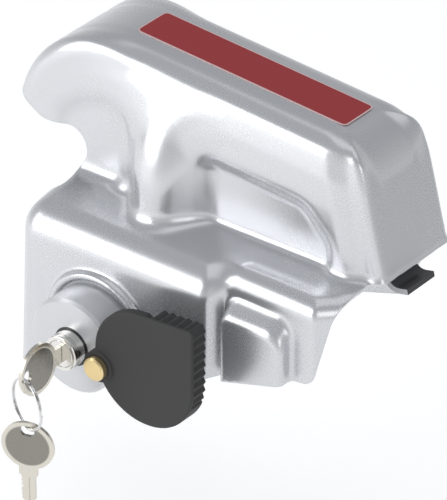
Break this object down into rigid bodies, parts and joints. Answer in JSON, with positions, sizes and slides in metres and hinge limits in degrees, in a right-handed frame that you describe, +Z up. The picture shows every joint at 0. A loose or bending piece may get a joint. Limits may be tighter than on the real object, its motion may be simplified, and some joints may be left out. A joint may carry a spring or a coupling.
{
  "type": "trailer coupler lock",
  "caption": "Drawn steel cover that drops over a trailer coupling head, with a key-operated push lock, swinging dust cap and front hook.",
  "frame": {"origin": "coupler seat: the point under the middle of the spine, on its inner face, where the cover rests on the coupling head", "axes": "+X along the coupler towards the cover's front hook, +Y across it away from the lock, +Z up"},
  "size_m": [0.2423, 0.1859, 0.2191],
  "materials": {
    "cover_paint": "silver-grey enamel, satin",
    "housing_nickel": "turned and plated, satin",
    "zinc_steel": "zinc plated",
    "bush_brass": "machined",
    "seal_rubber": "matt",
    "dark_steel": "black oxide",
    "barrel_nickel": "nickel plated",
    "hardened_steel": "ground",
    "spring_steel": "drawn wire",
    "key_nickel": "nickel silver, worn",
    "ring_nickel": "nickel plated wire",
    "cap_plastic": "moulded, fine spark grain",
    "pin_brass": "turned face",
    "hook_steel": "black enamel, bare cut edge",
    "label_film": "printed film, semi gloss"
  },
  "bodies": {
    "cover": {"shell": "cover_paint", "lock_housing": "housing_nickel", "backing_plate": "zinc_steel", "housing_screws": "zinc_steel", "guide_bush": "bush_brass", "barrel_o_ring": "seal_rubber", "guide_screw": "dark_steel", "cap_pivot_pin": "pin_brass", "cap_washer": "spring_steel", "front_hook": "hook_steel", "label": "label_film"},
    "barrel": {"lock_barrel": "barrel_nickel", "locking_bolt": "hardened_steel", "bolt_roll_pin": "dark_steel", "return_spring": "spring_steel", "detent_spring": "spring_steel"},
    "plug": {"lock_plug": "barrel_nickel", "wafers": "bush_brass", "wafer_springs": "spring_steel", "plug_clip": "spring_steel", "driver_cam": "hardened_steel"},
    "detent": {"detent_pin": "hardened_steel"},
    "key": {"key": "key_nickel"},
    "ring": {"key_ring": "ring_nickel"},
    "spare": {"spare_key": "key_nickel"},
    "cap": {"dust_cap": "cap_plastic", "cap_seal": "seal_rubber"}
  },
  "joints": [
    {"name": "barrel_push", "type": "slide", "parent": "cover", "child": "barrel", "axis": [0, 1, 0], "range_m": [0, 0.011], "stiffness_N_per_m": 400, "springref_m": -0.005, "deforming": ["return_spring"]},
    {"name": "key_turn", "type": "hinge", "parent": "barrel", "child": "plug", "pos_m": [-0.046, -0.103, -0.1355], "axis": [0, -1, 0], "range_deg": [0, 90]},
    {"name": "detent_slide", "type": "slide", "parent": "barrel", "child": "detent", "axis": [0, 0, 1], "range_m": [0, 0.0012], "deforming": ["detent_spring"]},
    {"name": "key_withdraw", "type": "slide", "parent": "plug", "child": "key", "axis": [0, -1, 0], "range_m": [0, 0.025]},
    {"name": "ring_swing", "type": "hinge", "parent": "key", "child": "ring", "pos_m": [-0.046, -0.1302, -0.1385], "axis": [0.9397, -0.342, 0], "range_deg": [-25, 25]},
    {"name": "spare_swing", "type": "hinge", "parent": "ring", "child": "spare", "pos_m": [-0.046, -0.1302, -0.1665], "axis": [0.9397, -0.342, 0], "range_deg": [-20, 20]},
    {"name": "cap_swing", "type": "hinge", "parent": "cover", "child": "cap", "pos_m": [-0.023, -0.0945, -0.1355], "axis": [0, 1, 0], "range_deg": [-60, 90]}
  ],
  "couplings": [
    {"joint": "detent_slide", "follows": "key_turn", "m_per_rad": 0.00076394}
  ]
}
